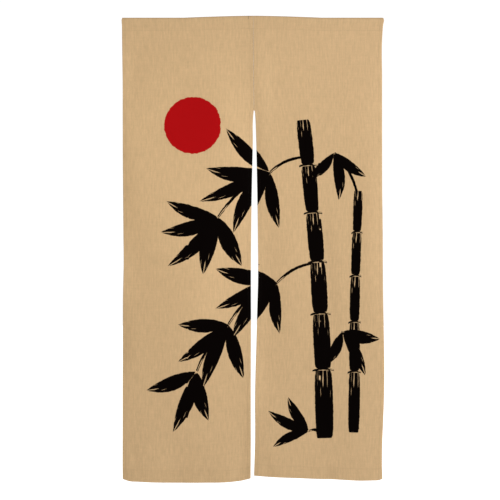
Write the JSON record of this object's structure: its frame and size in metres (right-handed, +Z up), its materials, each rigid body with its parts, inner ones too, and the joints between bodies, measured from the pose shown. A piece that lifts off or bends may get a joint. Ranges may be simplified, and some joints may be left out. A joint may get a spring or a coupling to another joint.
{
  "type": "noren curtain",
  "caption": "Split doorway curtain of slubbed cloth, seamed at the top of its centre and open below in a slit, with a turned-over rod sleeve along its top edge.",
  "frame": {"origin": "middle of the top edge, inside the sleeve's fold where the cloth bears on its rod", "axes": "+X across the curtain to the right as seen from the front, -Y out of its front, +Z up"},
  "size_m": [0.854, 0.0236, 1.5192],
  "materials": {
    "cloth": "matte plain weave with slubs, tan, with a printed design in black and red"
  },
  "bodies": {
    "root": {"panel_left": "cloth", "panel_right": "cloth"}
  },
  "joints": []
}
